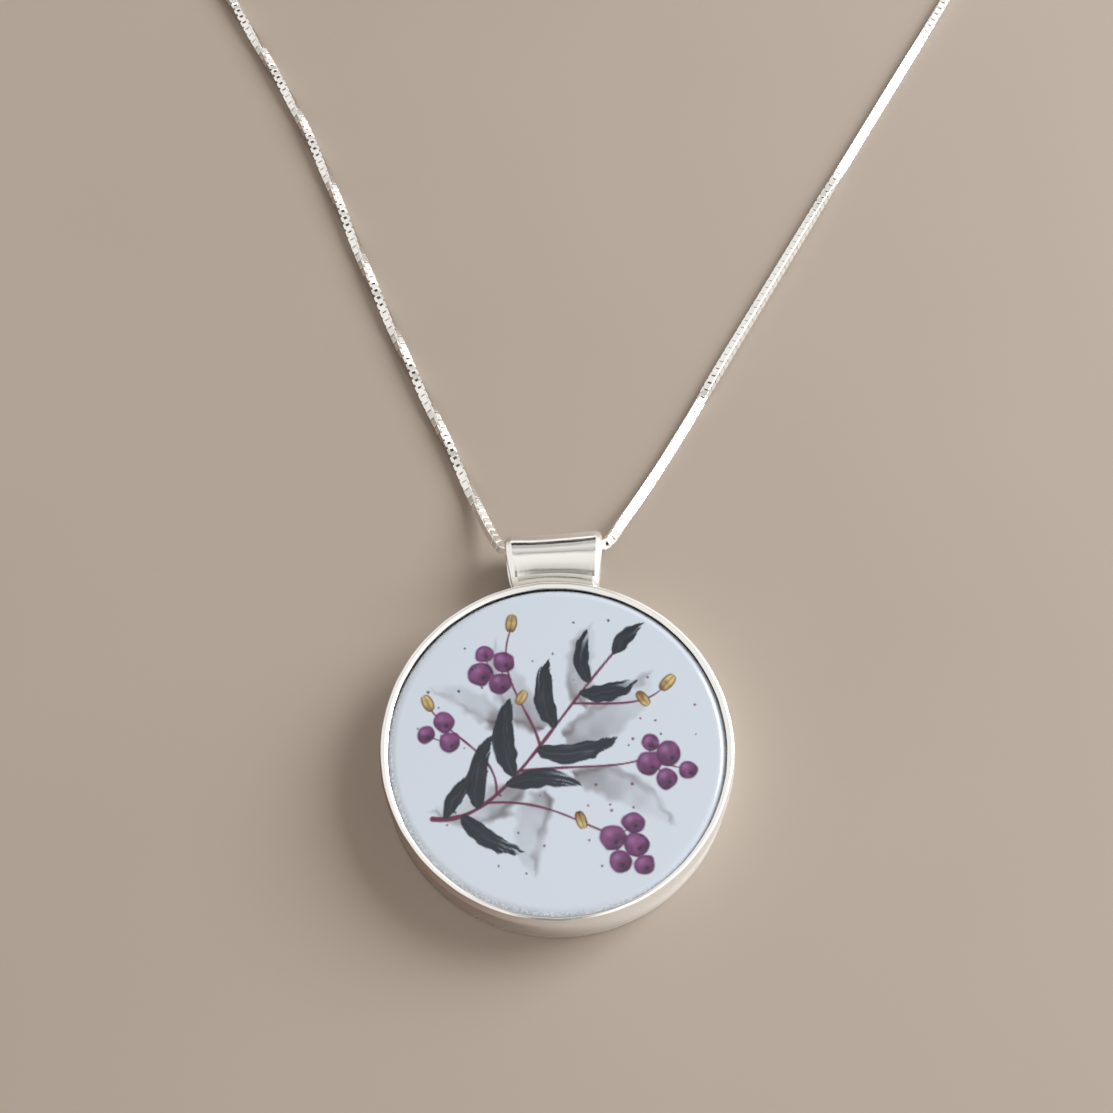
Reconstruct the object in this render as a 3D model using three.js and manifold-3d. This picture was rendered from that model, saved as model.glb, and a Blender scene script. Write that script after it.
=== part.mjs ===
// Pendant necklace: a glazed ceramic disc in a round silver bezel, on a silver box chain.
// Millimetres. The origin is the centre of the flat back, +Y points to the bail, +Z out of the disc's face.

import * as THREE from 'three';
import { mergeVertices } from 'three/addons/utils/BufferGeometryUtils.js';
import Module from 'manifold-3d';

const wasm = await Module();
wasm.setup();

// Bezel and disc
const bezelRadius = 13.5;
const backThickness = 0.7;
const wallThickness = 0.4;
const shoulderHeight = 4.5;
const bezelHeight = 5.1;
const burnish = 0.25;
const discGap = 0.2;
const discFace = 4.95;
const discEdge = 0.7;
const roundSides = 72;

// Bail: a wide loop with flared lips, its bezel side bent to the bezel's wall
const bailCentre = new THREE.Vector3(-0.25, 15.96, 2.5);
const bailLipRadius = 2.44;
const bailWaistRadius = 2.36;
const bailThickness = 0.45;
const bailHalfWidth = 3.93;
const bailNarrowing = 0.1;
const bailNarrowingPower = 2.45;
const bailTurn = THREE.MathUtils.degToRad(3);
const solderGap = 0.1;
const bailSides = 48;

// Chain
const chainWidth = 0.86;
const chainRest = 0.52;
const coilCentre = new THREE.Vector3(-15, 88, 0);
const coilInner = 2.55;
const coilOuter = 6.25;
const coilLayer = 0.95;

// Clasp
const claspCentre = new THREE.Vector3(24.2, 88, 1.5);
const claspThickness = 1.8;
const leverThickness = 0.6;
const leverSlot = 0.9;
const pinRadius = 0.28;
const pivot = new THREE.Vector2(2.9, 0.95);
const capRadius = 0.75;
const capLength = 2.2;
const capBore = 0.52;
const capHeight = 0.95;

// Colours
const silver = { color: 0xd9d6d0, metalness: 1, roughness: 0.18 };
const brushedSilver = { color: 0xcfccc6, metalness: 1, roughness: 0.35 };
const glaze = { color: 0xcfd9e4, metalness: 0, roughness: 0.12 };

const pendant = new THREE.Group();
const clasp = new THREE.Group();
clasp.position.copy(claspCentre);
clasp.rotation.z = Math.PI;
pendant.add(clasp);

function addPiece(name, geometry, look, parent = pendant) {
  const piece = new THREE.Mesh(geometry, new THREE.MeshStandardMaterial(look));
  piece.name = name;
  parent.add(piece);
  return piece;
}

function revolve(profile, sides) {
  const points = profile.map(([r, z]) => new THREE.Vector2(r, z));
  return new THREE.LatheGeometry(points, sides).rotateX(Math.PI / 2);
}

function slab(outline, thickness) {
  const shape = outline instanceof THREE.Shape
    ? outline
    : new THREE.Shape(outline.map(([x, y]) => new THREE.Vector2(x, y)));
  const plate = new THREE.ExtrudeGeometry(shape, { depth: thickness, bevelEnabled: false, curveSegments: 20 });
  return plate.translate(0, 0, -thickness / 2);
}

function round(x, y, rx, ry = rx) {
  const shape = new THREE.Shape();
  shape.absellipse(x, y, rx, ry, 0, 2 * Math.PI);
  return shape;
}

function solid(geometry) {
  const bare = geometry.clone();
  bare.deleteAttribute('normal');
  bare.deleteAttribute('uv');
  const merged = mergeVertices(bare, 1e-4);
  const mesh = new wasm.Mesh({
    numProp: 3,
    vertProperties: new Float32Array(merged.attributes.position.array),
    triVerts: new Uint32Array(merged.index.array),
  });
  return new wasm.Manifold(mesh);
}

function geometryOf(body) {
  const mesh = body.getMesh();
  const geometry = new THREE.BufferGeometry();
  const positions = new Float32Array(mesh.numVert * 3);
  for (let i = 0; i < mesh.numVert; i += 1) {
    const start = i * mesh.numProp;
    positions.set(mesh.vertProperties.subarray(start, start + 3), i * 3);
  }
  geometry.setAttribute('position', new THREE.BufferAttribute(positions, 3));
  geometry.setIndex(new THREE.BufferAttribute(new Uint32Array(mesh.triVerts), 1));
  geometry.computeVertexNormals();
  return geometry;
}

// Back plate
addPiece('back_plate', revolve([
  [0, 0],
  [bezelRadius, 0],
  [bezelRadius, backThickness],
  [0, backThickness],
], roundSides), brushedSilver);

// Bezel wall: straight up to the shoulder, then leaning in over the disc's edge
const wallInner = bezelRadius - wallThickness;
addPiece('bezel_wall', revolve([
  [bezelRadius, backThickness],
  [bezelRadius, shoulderHeight],
  [bezelRadius - 0.08, shoulderHeight + 0.3],
  [bezelRadius - burnish, bezelHeight - 0.05],
  [bezelRadius - burnish - 0.15, bezelHeight],
  [wallInner - burnish, bezelHeight - 0.25],
  [wallInner, shoulderHeight - 0.15],
  [wallInner, backThickness],
  [bezelRadius, backThickness],
], roundSides), silver);

// Ceramic disc with its ground edge
const discRadius = wallInner - discGap;
addPiece('ceramic_disc', revolve([
  [0, backThickness],
  [discRadius, backThickness],
  [discRadius, discFace - 0.75],
  [discRadius - 0.22, discFace - 0.27],
  [discRadius - discEdge, discFace],
  [0, discFace],
], roundSides), glaze);

// Bail: the flare of its lips, from the middle (0) to the lip (1)
function bailOuter(along) {
  const flare = THREE.MathUtils.smoothstep(Math.abs(along), 0.77, 0.92);
  return bailWaistRadius + (bailLipRadius - bailWaistRadius) * flare;
}

// A place on the bail: along is -1 to 1 across its width, turn starts on the side away from the bezel
function bailPlace(along, radius, turn) {
  const halfWidth = bailHalfWidth - bailNarrowing * (1 - Math.cos(turn)) ** bailNarrowingPower;
  const axis = new THREE.Vector3(0, 0, 1);
  const place = new THREE.Vector3(along * halfWidth, radius * Math.cos(turn), radius * Math.sin(turn));
  place.applyAxisAngle(axis, bailTurn).add(bailCentre);
  const nearest = new THREE.Vector3(along * halfWidth, -bailOuter(along), 0);
  nearest.applyAxisAngle(axis, bailTurn).add(bailCentre);
  const seat = Math.sqrt((bezelRadius + solderGap) ** 2 - nearest.x ** 2);
  place.y += (seat - nearest.y) * Math.max(0, -Math.cos(turn)) ** 2;
  return place;
}

function bailGeometry() {
  const stations = [-1, -0.975, -0.9, -0.84, -0.77, -0.4];
  const across = [...stations, 0, ...stations.map((s) => -s).reverse()];
  const rim = (s) => (Math.abs(s) === 1 ? 0.1 : 0);
  const outside = across.map((s) => new THREE.Vector2(bailOuter(s) - rim(s), s));
  const inside = across.map((s) => new THREE.Vector2(bailOuter(s) - bailThickness + rim(s), s)).reverse();
  const geometry = new THREE.LatheGeometry([...outside, ...inside, outside[0]], bailSides);
  const spots = geometry.attributes.position;
  const spot = new THREE.Vector3();
  for (let i = 0; i < spots.count; i += 1) {
    spot.fromBufferAttribute(spots, i);
    const place = bailPlace(spot.y, Math.hypot(spot.x, spot.z), Math.atan2(spot.x, spot.z));
    spots.setXYZ(i, place.x, place.y, place.z);
  }
  return geometry;
}

addPiece('bail', bailGeometry(), silver);

// Chain: the route of its middle line, from the coil through the bail to the clasp's cap
const strandRoute = [
  [-19.2, 81.85, 0.52],
  [-22.6, 82.4, 0.52],
  [-25.7, 83.9, 0.52],
  [-28.6, 85.4, 0.52],
  [-31.5, 85.3, 0.52],
  [-33.6, 83.2, 0.52],
  [-33.8, 80.1, 0.52],
  [-31.37, 75.68, 0.52],
  [-27.25, 68.24, 0.52],
  [-24.75, 63.5, 0.52],
  [-22.12, 57.85, 0.52],
  [-19.64, 51.9, 0.52],
  [-17.3, 46.0, 0.52],
  [-14.9, 40.3, 0.52],
  [-11.7, 33.1, 0.52],
  [-9.5, 28.4, 0.52],
  [-7.64, 24.2, 0.58],
  [-6.5, 21.5, 0.98],
  [-5.5, 19.1, 1.85],
  [-4.95, 17.95, 2.4],
  [-4.55, 17.35, 2.7],
  [-4.0, 17.05, 2.86],
  [-3.0, 16.97, 2.9],
  [0, 17.08, 2.85],
  [2.8, 17.28, 2.9],
  [3.7, 17.5, 2.84],
  [4.25, 17.98, 2.62],
  [4.65, 18.65, 2.3],
  [5.3, 19.95, 1.72],
  [6.5, 22.05, 0.98],
  [7.97, 24.5, 0.58],
  [10.8, 29.3, 0.52],
  [13.6, 34.3, 0.52],
  [16.5, 39.4, 0.52],
  [22.6, 50.05, 0.52],
  [29.1, 61.4, 0.52],
  [32.5, 67.3, 0.52],
  [37.21, 75.43, 0.52],
  [39.6, 80.0, 0.52],
  [39.9, 84.0, 0.52],
  [37.4, 86.9, 0.55],
  [33.6, 87.9, 0.72],
  [29.95, 88, 0.95],
];

// From the coil's upper layer to the cap at the end ring
const tailRoute = [
  [-8.25, 84.7, 1.3],
  [-5.2, 86.35, 0.85],
  [-1.8, 87.6, 0.55],
  [2.4, 88.05, 0.52],
  [6.5, 88.05, 0.66],
  [10.3, 88, 0.95],
];

// A chain tube has its sections at the route's points and midway between them, so they are close in the bends
function chainTube(route) {
  const points = route.map(([x, y, z]) => new THREE.Vector3(x, y, z));
  const line = new THREE.CatmullRomCurve3(points, false, 'centripetal');
  line.getUtoTmapping = (u) => u;
  const section = new THREE.Shape();
  const sides = 8;
  for (let i = 0; i < sides; i += 1) {
    const angle = (i + 0.5) * 2 * Math.PI / sides;
    const x = chainWidth / 2 * Math.cos(angle);
    const y = chainWidth / 2 * Math.sin(angle);
    if (i === 0) {
      section.moveTo(x, y);
    } else {
      section.lineTo(x, y);
    }
  }
  return new THREE.ExtrudeGeometry(section, { steps: 2 * (points.length - 1), extrudePath: line });
}

addPiece('chain_strand', chainTube(strandRoute), silver);
addPiece('chain_tail', chainTube(tailRoute), silver);

// The coiled rest of the chain: its outer shape, two layers high
const coilTop = chainRest + coilLayer + chainWidth / 2 + 0.05;
const coil = addPiece('chain_coil', revolve([
  [coilOuter + 0.3, 0.05],
  [coilOuter + 0.5, 0.3],
  [coilOuter + 0.5, coilTop - 0.25],
  [coilOuter + 0.3, coilTop],
  [coilInner - 0.3, coilTop],
  [coilInner - 0.5, coilTop - 0.25],
  [coilInner - 0.5, 0.3],
  [coilInner - 0.3, 0.05],
  [coilOuter + 0.3, 0.05],
], 40), silver);
coil.position.copy(coilCentre);

// Clasp body: eye, trunk and curved jaw, thinned towards both ends, then its openings
const sideView = [
  [-1.6, -0.4], [0.9, -0.4], [1.7, -0.9], [4.4, -0.9], [8.1, -0.38], [9.3, -0.34],
  [9.3, 0.34], [8.1, 0.38], [4.4, 0.9], [1.7, 0.9], [0.9, 0.4], [-1.6, 0.4],
];
const trunk = [[0.3, -1], [2.6, -1.75], [4.2, -1.95], [4.2, 1.95], [2.6, 1.75], [0.3, 1]];
const mouth = [[3.7, 0.25], [7, 0.25], [7, 3], [3.7, 3]];
const slot = [[1.7, -0.45], [3.75, -0.45], [3.75, 3], [1.7, 3]];
const claspBody = solid(slab(round(0, 0, 1.3), claspThickness))
  .add(solid(slab(trunk, claspThickness)))
  .add(solid(slab(round(5.7, 0, 3.3, 2.25), claspThickness)))
  .intersect(solid(slab(sideView, 6).rotateX(Math.PI / 2)))
  .subtract(solid(slab(round(0, 0, 0.7), 4)))
  .subtract(solid(slab(round(5.9, 0, 2.3, 1.2), 4)))
  .subtract(solid(slab(mouth, 4)))
  .subtract(solid(slab(slot, leverSlot)))
  .subtract(solid(slab(round(pivot.x, pivot.y, pinRadius + 0.05), 4)));
addPiece('clasp_body', geometryOf(claspBody), silver, clasp);

// Lever: it closes the mouth, and its thumb tab stands out at the side
const leverOutline = [
  [6.7, 1.13], [6.7, 2.08], [6, 2.2], [5.3, 2.19], [4.5, 2.05], [4.05, 1.93], [3.55, 2.95],
  [3.1, 2.85], [3.15, 1.72], [2.45, 1.5], [2.2, 0.95], [2.4, 0.4], [2.9, 0.22], [3.45, 0.42],
  [4, 0.72], [4.6, 0.97], [5.3, 1.14], [6, 1.18],
];
const lever = solid(slab(leverOutline, leverThickness))
  .subtract(solid(slab(round(pivot.x, pivot.y, pinRadius + 0.1), 4)));
addPiece('clasp_lever', geometryOf(lever), silver, clasp);

addPiece('clasp_pin', slab(round(pivot.x, pivot.y, pinRadius), claspThickness), silver, clasp);

// Spring: a leaf in the slot, under the lever
addPiece('clasp_spring', slab([
  [1.76, 0.55], [1.76, -0.05], [1.95, -0.3], [2.4, -0.38], [2.9, -0.3], [3.5, -0.06],
  [3.5, 0.06], [2.9, -0.18], [2.4, -0.26], [2, -0.18], [1.88, 0], [1.88, 0.55],
], 0.5), brushedSilver, clasp);

// Rings: the jump ring is in the clasp's eye, the end ring in its jaw, and both stand upright
function addRing(name, x, radius, wire) {
  const ring = new THREE.TorusGeometry(radius, wire, 8, 28).rotateX(Math.PI / 2);
  const height = radius + wire + 0.02;
  return addPiece(name, ring.translate(x, 0, height - claspCentre.z), silver, clasp);
}

addRing('jump_ring', -1.33, 1.38, 0.3);
addRing('end_ring', 9.1, 1.8, 0.35);

// End caps: a sleeve with the chain's end in it, and an eye
function addCap(name, eyeX, eyeRadius, holeRadius, mouthX) {
  const way = Math.sign(eyeX - mouthX);
  const sleeve = revolve([
    [0, 1.3],
    [capBore, 1.3],
    [capBore, 0],
    [capRadius - 0.05, 0],
    [capRadius, 0.08],
    [capRadius, capLength - 0.3],
    [capRadius - 0.25, capLength],
    [0, capLength],
  ], 24).rotateY(way * Math.PI / 2).translate(mouthX, 0, 0);
  const cap = solid(sleeve)
    .add(solid(slab(round(eyeX, 0, eyeRadius), 0.5)))
    .subtract(solid(slab(round(eyeX, 0, holeRadius), 2)));
  const piece = addPiece(name, geometryOf(cap), silver, clasp);
  piece.position.z = capHeight - claspCentre.z;
}

addCap('clasp_end_cap', -2.5, 1, 0.6, -5.45);
addCap('ring_end_cap', 10.43, 1.25, 0.78, 13.6);

export default pendant;
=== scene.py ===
"""Pendant necklace: a painted ceramic disc in a silver bezel, with a wide bail on a fine box chain."""

import math

import bmesh
import bpy
import numpy as np
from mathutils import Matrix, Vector


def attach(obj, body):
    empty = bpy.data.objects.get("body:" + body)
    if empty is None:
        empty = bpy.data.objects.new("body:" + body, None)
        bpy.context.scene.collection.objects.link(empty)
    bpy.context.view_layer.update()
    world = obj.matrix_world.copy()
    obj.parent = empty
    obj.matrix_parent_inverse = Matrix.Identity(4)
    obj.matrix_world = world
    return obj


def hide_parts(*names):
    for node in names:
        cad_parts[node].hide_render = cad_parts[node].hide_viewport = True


bl_info = {
    "name": "Pendant Necklace",
    "version": (1, 0, 0),
    "blender": (4, 5, 0),
    "location": "3D View > Sidebar > Necklace",
    "description": "Painted ceramic pendant in a silver bezel, on a box chain with a lobster clasp",
    "category": "Add Mesh",
}

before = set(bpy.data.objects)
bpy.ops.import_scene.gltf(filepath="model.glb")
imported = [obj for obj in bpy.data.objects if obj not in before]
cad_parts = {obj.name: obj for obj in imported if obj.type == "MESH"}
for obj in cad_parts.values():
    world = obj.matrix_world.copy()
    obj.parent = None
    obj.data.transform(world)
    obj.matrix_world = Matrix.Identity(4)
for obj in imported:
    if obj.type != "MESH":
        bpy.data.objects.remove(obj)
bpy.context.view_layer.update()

MM = 0.001
BODY = "necklace"

# Chain: the route of its middle line in millimetres, as the solids have it. A place of two numbers is where
# the chain lies flat, with its middle at this height
LYING_HEIGHT = 0.52
STRAND_ROUTE = (
    (-19.2, 81.85), (-22.6, 82.4), (-25.7, 83.9), (-28.6, 85.4), (-31.5, 85.3), (-33.6, 83.2),
    (-33.8, 80.1), (-31.37, 75.68), (-27.25, 68.24), (-24.75, 63.5), (-22.12, 57.85), (-19.64, 51.9),
    (-17.3, 46.0), (-14.9, 40.3), (-11.7, 33.1), (-9.5, 28.4), (-7.64, 24.2, 0.58), (-6.5, 21.5, 0.98),
    (-5.5, 19.1, 1.85), (-4.95, 17.95, 2.4), (-4.55, 17.35, 2.7), (-4.0, 17.05, 2.86), (-3.0, 16.97, 2.9),
    (0.0, 17.08, 2.85), (2.8, 17.28, 2.9), (3.7, 17.5, 2.84), (4.25, 17.98, 2.62), (4.65, 18.65, 2.3),
    (5.3, 19.95, 1.72), (6.5, 22.05, 0.98), (7.97, 24.5, 0.58), (10.8, 29.3), (13.6, 34.3), (16.5, 39.4),
    (22.6, 50.05), (29.1, 61.4), (32.5, 67.3), (37.21, 75.43), (39.6, 80.0), (39.9, 84.0),
    (37.4, 86.9, 0.55), (33.6, 87.9, 0.72), (29.95, 88.0, 0.95),
)
TAIL_ROUTE = (
    (-8.25, 84.7, 1.3), (-5.2, 86.35, 0.85), (-1.8, 87.6, 0.55), (2.4, 88.05), (6.5, 88.05, 0.66),
    (10.3, 88.0, 0.95),
)
COIL_CENTRE = (-15.0, 88.0)
COIL_INNER = 2.55
COIL_OUTER = 6.25
COIL_LAYER = 0.95
COIL_TURNS = 3.9166667
COIL_CLIMB = 0.25
COIL_START = -0.25
TURN_POINTS = 24
LINE_STEP = 0.5
UNDER_BAIL = 17.08

# Turn of the links about the chain's line: millimetres past the bail's middle, degrees
LINK_TURNS = (
    (-100, 60), (-71, 0), (-67.5, -6), (-64.5, -20), (-55.5, -24), (-49, -22), (-45.5, 13), (-42, 21),
    (-25, 21), (-22.3, 13), (-20.5, -18), (-9.4, -22), (9.0, -64.5), (15.2, 0.0), (345.0, 3430.0),
)
# Links are longer on the right strand, and wherever their gaps face neither up nor sideways
RIGHT_STRETCH = ((-9.0, 1.24), (-3.0, 1.0))
TURNED_STRETCH = 0.33
STRETCH_DEGREES = (8, 22)


def size(label, description, millimetres):
    return bpy.props.FloatProperty(
        name=label, description=description, default=millimetres * MM, min=0.0, precision=5,
        subtype="DISTANCE", unit="LENGTH",
    )


def colour(label, description, values):
    return bpy.props.FloatVectorProperty(
        name=label, description=description, default=values, size=3, min=0.0, max=1.0, subtype="COLOR",
    )


class ChainSizes(bpy.types.PropertyGroup):
    link_length: size("Link length", "Outside length of one link", 0.552)
    link_height: size("Link height", "Outside height of one link", 0.79)
    strip_width: size("Strip width", "Width of the strip that a link is folded from", 0.60)
    side_thickness: size("Side thickness", "Thickness of the strip along a link's sides", 0.245)
    end_thickness: size("End thickness", "Thickness of the strip across a link's ends", 0.08)
    corner: size("Corner", "Radius of a link's outside corners", 0.07)
    edge_drop: size("Edge drop", "How far the strip's edges slope down to its outside", 0.03)
    pitch: size("Pitch", "Distance from one link to the next", 0.392)
    jitter: bpy.props.FloatProperty(
        name="Jitter", description="How far single links are turned out of line",
        default=math.radians(1.5), subtype="ANGLE", unit="ROTATION",
    )


class BezelSizes(bpy.types.PropertyGroup):
    radius: size("Radius", "Outer radius of the bezel", 13.5)
    wall: size("Wall", "Thickness of the bezel's wall", 0.4)
    back: size("Back", "Thickness of the back plate", 0.7)
    height: size("Height", "Height of the burnished lip's top", 5.1)
    wobble: size("Wobble", "Unevenness that the burnishing leaves in the lip", 0.03)
    pressed: size("Pressed", "How far the shoulder is pressed in at the front", 0.25)


class DiscSizes(bpy.types.PropertyGroup):
    radius: size("Radius", "Radius of the ceramic disc", 12.9)
    face: size("Face height", "Height of the painted face", 4.95)
    edge: size("Edge", "Width of the rounded edge", 0.75)
    shift: bpy.props.FloatVectorProperty(
        name="Shift", description="How far the disc sits off the bezel's middle",
        default=(0.04 * MM, -0.03 * MM), size=2, subtype="TRANSLATION", unit="LENGTH",
    )
    enamel: size("Enamel", "Thickness of the painted strokes", 0.012)


class BailSizes(bpy.types.PropertyGroup):
    waist: size("Waist radius", "Outer radius between the lips", 2.35)
    lip: size("Lip radius", "Outer radius of the flared lips", 2.45)
    thickness: size("Thickness", "Thickness of the band", 0.45)
    half_width: size("Half width", "Half the width across the lips", 3.93)


class Colours(bpy.types.PropertyGroup):
    silver: colour("Silver", "Polished silver", (0.86, 0.845, 0.815))
    tarnish: colour("Tarnish", "Darker silver in the creases", (0.30, 0.27, 0.235))
    glaze: colour("Glaze", "Bare glaze of the disc", (0.605, 0.685, 0.79))
    floor: colour("Floor", "Plain floor under the necklace", (0.40, 0.338, 0.282))


def new_object(name, data):
    thing = bpy.data.objects.new(name, data)
    bpy.context.scene.collection.objects.link(thing)
    return thing


def soft_step(low, high, value):
    share = np.clip((value - low) / (high - low), 0, 1)
    return share * share * (3 - 2 * share)


def around(count):
    """The angles of that many even steps round a circle."""
    return 2 * math.pi * np.arange(count) / count


def polar(away, angle):
    return np.array([away * math.cos(angle), away * math.sin(angle)])


def smooth_route(points, spacing):
    """Centripetal Catmull-Rom curve through the points, with places no further apart than spacing."""
    points = np.asarray(points, float)
    padded = np.vstack([2 * points[0] - points[1], points, 2 * points[-1] - points[-2]])
    places = []
    for p0, p1, p2, p3 in zip(padded, padded[1:], padded[2:], padded[3:]):
        t1 = np.linalg.norm(p1 - p0) ** 0.5
        t2 = t1 + np.linalg.norm(p2 - p1) ** 0.5
        t3 = t2 + np.linalg.norm(p3 - p2) ** 0.5
        steps = math.ceil(np.linalg.norm(p2 - p1) / spacing)
        for t in t1 + (t2 - t1) * np.arange(steps) / steps:
            a = p0 + (p1 - p0) * t / t1
            b = p1 + (p2 - p1) * (t - t1) / (t2 - t1)
            c = p2 + (p3 - p2) * (t - t2) / (t3 - t2)
            d = a + (b - a) * t / t2
            e = b + (c - b) * (t - t1) / (t3 - t1)
            places.append(d + (e - d) * (t - t1) / (t2 - t1))
    places.append(points[-1])
    return np.array(places)


FILLET_STEPS = 6


def rounded(corners):
    """A closed outline from corners (x, y, fillet radius), counterclockwise or clockwise."""
    outline = []
    count = len(corners)
    for i, (x, y, fillet) in enumerate(corners):
        here = np.array((x, y))
        if not fillet:
            outline.append(here)
            continue
        to_last = np.array(corners[i - 1][:2]) - here
        to_next = np.array(corners[(i + 1) % count][:2]) - here
        to_last /= np.linalg.norm(to_last)
        to_next /= np.linalg.norm(to_next)
        half = math.acos(np.clip(to_last @ to_next, -1, 1)) / 2
        reach = fillet / math.tan(half)
        middle = here + (to_last + to_next) / np.linalg.norm(to_last + to_next) * fillet / math.sin(half)
        first, last = here + to_last * reach - middle, here + to_next * reach - middle
        sweep = math.pi - 2 * half
        for s in np.arange(FILLET_STEPS + 1) / FILLET_STEPS:
            outline.append(
                middle + (math.sin((1 - s) * sweep) * first + math.sin(s * sweep) * last) / math.sin(sweep)
            )
    return np.array(outline)


# Relief: the bend in radians a millimetre that counts as full, and the least distance it is taken over
FULL_BEND = 6.0
LEAST_GAP = 0.03


def mark(mesh, name, values):
    """Keep a number for each point of a mesh, as an attribute."""
    mesh.attributes.new(name, "FLOAT", "POINT").data.foreach_set("value", values)


def finish_mesh(mesh, smooth_angle=35):
    """Face the skin outwards, shade it, and keep how sharply it bends as the attribute relief."""
    work = bmesh.new()
    work.from_mesh(mesh)
    bmesh.ops.recalc_face_normals(work, faces=work.faces)
    bends = np.zeros(len(work.verts))
    for edge in work.edges:
        if len(edge.link_faces) != 2:
            continue
        one, other = edge.link_faces
        gap = (one.calc_center_median() - other.calc_center_median()).length / MM
        bend = edge.calc_face_angle_signed(0.0) / max(gap, LEAST_GAP)
        for vert in edge.verts:
            if abs(bend) > abs(bends[vert.index]):
                bends[vert.index] = bend
    work.to_mesh(mesh)
    work.free()
    mark(mesh, "relief", np.clip(bends / FULL_BEND, -1, 1))
    mesh.shade_smooth()
    mesh.set_sharp_from_angle(angle=math.radians(smooth_angle))
    return mesh


def closed_mesh(rings, joined):
    """A closed skin through rings of points in millimetres. Joined ties the last ring to the first."""
    rings = np.asarray(rings, float) * MM
    count, sides, _ = rings.shape
    index = np.arange(count * sides).reshape(count, sides)
    after, beside = np.roll(index, -1, axis=0), np.roll(index, -1, axis=1)
    quads = np.stack([index, beside, np.roll(beside, -1, axis=0), after], axis=-1)
    if joined:
        faces = quads.reshape(-1, 4).tolist()
    else:
        faces = quads[:-1].reshape(-1, 4).tolist() + [index[0][::-1].tolist(), index[-1].tolist()]
    mesh = bpy.data.meshes.new("skin")
    mesh.from_pydata(rings.reshape(-1, 3).tolist(), [], faces)
    return finish_mesh(mesh)


def revolved(profile, sides, wobble=None):
    """Rings of a profile (radius, height) turned about Z. Wobble shifts the points of a ring."""
    angle = around(sides)[:, None]
    r, z = np.array(profile, float).T
    if wobble:
        shift_r, shift_z = wobble(angle, r, z)
        r, z = r + shift_r, z + shift_z
    return np.stack([r * np.cos(angle), r * np.sin(angle), z + 0 * angle], axis=-1)


# Node trees

class Wire:
    """One output of a node. Sums and products of wires make the nodes that work them out."""

    def __init__(self, socket):
        self.socket = socket
        self.tree = socket.id_data

    def __add__(self, other):
        return calc("ADD", self, other)

    def __sub__(self, other):
        return calc("SUBTRACT", self, other)

    def __rsub__(self, other):
        return calc("SUBTRACT", other, self)

    def __mul__(self, other):
        return calc("MULTIPLY", self, other)

    def __truediv__(self, other):
        return calc("DIVIDE", self, other)

    __radd__ = __add__


def feed(made, inputs):
    """Wire a node's inputs, or set those that are plain values."""
    for key, value in dict(inputs).items():
        if isinstance(value, Wire):
            made.id_data.links.new(value.socket, made.inputs[key])
        else:
            made.inputs[key].default_value = value
    return made


def node(tree, kind, inputs=(), **settings):
    made = tree.nodes.new(kind)
    for key, value in settings.items():
        setattr(made, key, value)
    return feed(made, inputs)


def add(tree, kind, inputs=(), output=0, **settings):
    return Wire(node(tree, kind, inputs, **settings).outputs[output])


def calc(operation, *values, clamp=False):
    tree = next(value.tree for value in values if isinstance(value, Wire))
    return add(tree, "ShaderNodeMath", dict(enumerate(values)), operation=operation, use_clamp=clamp)


def parts(place):
    """The X, Y and Z of a place."""
    return [Wire(socket) for socket in node(place.tree, "ShaderNodeSeparateXYZ", {0: place}).outputs]


def spread(value, low, high, to_low=0.0, to_high=1.0, smooth=True):
    return add(
        value.tree,
        "ShaderNodeMapRange",
        {"Value": value, "From Min": low, "From Max": high, "To Min": to_low, "To Max": to_high},
        interpolation_type="SMOOTHSTEP" if smooth else "LINEAR",
    )


def grain(place, scale, detail=3.0, rough=0.5):
    inputs = {"Vector": place, "Scale": scale, "Detail": detail, "Roughness": rough}
    return add(place.tree, "ShaderNodeTexNoise", inputs, output="Fac")


def stretched(place, turn, scale):
    inputs = {"Vector": place, "Rotation": turn, "Scale": scale}
    return add(place.tree, "ShaderNodeMapping", inputs, vector_type="POINT")


def mixed(share, first, second):
    return add(share.tree, "ShaderNodeMix", {0: share, 6: first, 7: second}, output=2, data_type="RGBA")


def bumped(height, strength, distance):
    inputs = {"Height": height, "Strength": strength, "Distance": distance}
    return add(height.tree, "ShaderNodeBump", inputs)


def tarnished(share):
    """Silver where the share is 0, tarnish where it is 1."""
    colours = bpy.context.scene.necklace_colours
    return mixed(share, (*colours.silver, 1), (*colours.tarnish, 1))


# Finishes

# Two sets of scratches: the way that each runs, and how it is drawn out along that way
SCRATCHES = (((0.3, 0.1, 0.5), (160, 9000, 9000)), ((0.0, 0.5, -0.8), (7000, 140, 7000)))
CLAY_DARK = (0.47, 0.49, 0.53, 1)
CLAY_PALE = (0.90, 0.92, 0.96, 1)
GLAZE_IOR = 1.52
FINE_RELIEF = 0.00001
LINK_RELIEF = 0.000008


def attribute(place, name, output="Fac"):
    return add(place.tree, "ShaderNodeAttribute", output=output, attribute_name=name)


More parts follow.
